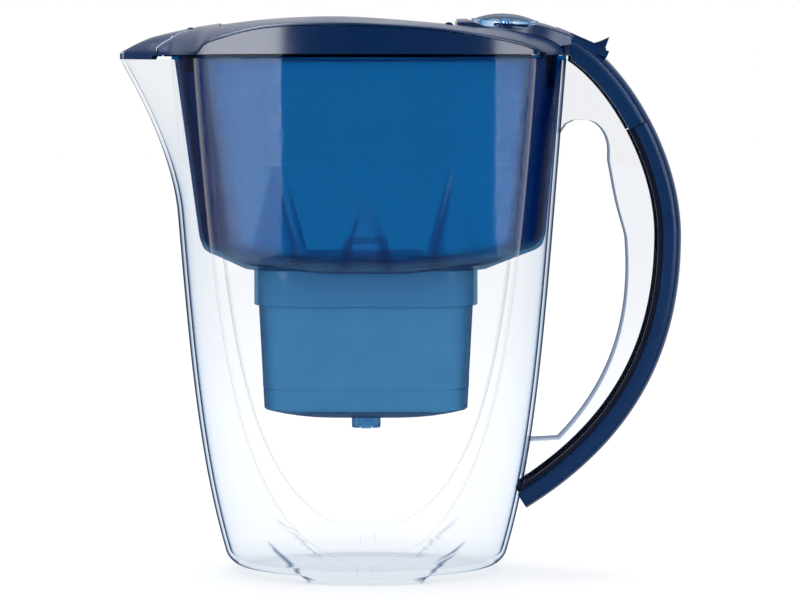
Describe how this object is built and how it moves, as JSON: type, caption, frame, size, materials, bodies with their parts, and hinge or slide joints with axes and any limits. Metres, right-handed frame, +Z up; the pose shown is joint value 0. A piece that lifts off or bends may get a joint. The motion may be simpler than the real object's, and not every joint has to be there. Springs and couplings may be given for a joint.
{
  "type": "water filter pitcher",
  "caption": "Clear pitcher with a drop-in blue reservoir and filter cartridge, navy lid with fill flip, spout flap and counter dial, and a bow handle.",
  "frame": {"origin": "on the standing plane, midway between the spout tip and the back of the grip, on the mirror plane", "axes": "+Z up, spout towards -X, handle towards +X, mirror plane Y = 0, seen from -Y in the picture"},
  "size_m": [0.272, 0.116, 0.2708],
  "materials": {
    "jug_clear": "clear polished plastic",
    "bow_clear": "clear polished plastic",
    "reservoir_blue": "translucent deep blue, polished",
    "cartridge_blue": "translucent blue, satin",
    "cap_blue": "translucent blue, satin",
    "lid_navy": "opaque navy, semi-gloss",
    "panel_navy": "opaque navy, fine texture",
    "flip_navy": "opaque navy, semi-gloss",
    "flap_navy": "opaque navy, semi-gloss",
    "slide_navy": "opaque navy, semi-gloss",
    "grip_navy": "opaque navy, semi-gloss",
    "liner_dark": "near-black blue, matte",
    "seal_rubber": "soft black",
    "screen_white": "white moulded mesh",
    "media_white": "granular bed",
    "pin_steel": "ground steel pin",
    "rod_dark": "dark moulded bar",
    "dial_white": "white disc with blue marks",
    "pointer_dark": "dark blue",
    "knob_clear": "clear polished plastic"
  },
  "bodies": {
    "jug_body": {"jug": "jug_clear", "handle_bow": "bow_clear", "grip_liner": "liner_dark", "grip_cover": "grip_navy"},
    "reservoir_body": {"reservoir": "reservoir_blue"},
    "cartridge": {"cartridge_body": "cartridge_blue", "cartridge_cap": "cap_blue", "inlet_screen": "screen_white", "media_bed": "media_white", "outlet_screen": "screen_white", "outlet_nozzle": "cartridge_blue", "socket_seal": "seal_rubber"},
    "lid": {"lid_frame": "lid_navy", "side_panels": "panel_navy", "rear_housing": "lid_navy", "lid_tail": "grip_navy", "flip_hinge_pin": "pin_steel", "spout_hinge_pin": "pin_steel", "dial_base": "dial_white", "dial_rivet": "pin_steel"},
    "flip": {"flip_lid": "flip_navy"},
    "flap": {"spout_flap": "flap_navy"},
    "dial": {"dial_knob": "knob_clear", "dial_pointer": "pointer_dark"},
    "slide": {"thumb_slide": "slide_navy"},
    "rod": {"push_rod": "rod_dark"}
  },
  "joints": [
    {"name": "reservoir_lift", "type": "slide", "parent": "jug_body", "child": "reservoir_body", "axis": [0, 0, 1], "range_m": [0, 0.2]},
    {"name": "cartridge_lift", "type": "slide", "parent": "reservoir_body", "child": "cartridge", "axis": [0, 0, 1], "range_m": [0, 0.075]},
    {"name": "lid_lift", "type": "slide", "parent": "reservoir_body", "child": "lid", "axis": [0, 0, 1], "range_m": [0, 0.1]},
    {"name": "flip_open", "type": "hinge", "parent": "lid", "child": "flip", "pos_m": [0.0225, 0, 0.26306], "axis": [0, 1, 0], "range_deg": [0, 70]},
    {"name": "flap_open", "type": "hinge", "parent": "lid", "child": "flap", "pos_m": [-0.101, 0, 0.26129], "axis": [0, 1, 0], "range_deg": [0, 60]},
    {"name": "dial_turn", "type": "hinge", "parent": "lid", "child": "dial", "pos_m": [0.0503, 0, 0.2672], "axis": [0.0436, 0, 0.999], "continuous": true},
    {"name": "slide_push", "type": "slide", "parent": "lid", "child": "slide", "axis": [-0.9171, 0, 0.3987], "range_m": [0, 0.00587]},
    {"name": "rod_push", "type": "slide", "parent": "lid", "child": "rod", "axis": [-1, 0, 0], "range_m": [0, 0.00539]}
  ],
  "couplings": [
    {"joint": "rod_push", "follows": "flip_open", "m_per_rad": 0.0044},
    {"joint": "slide_push", "follows": "flip_open", "m_per_rad": 0.0047979}
  ]
}
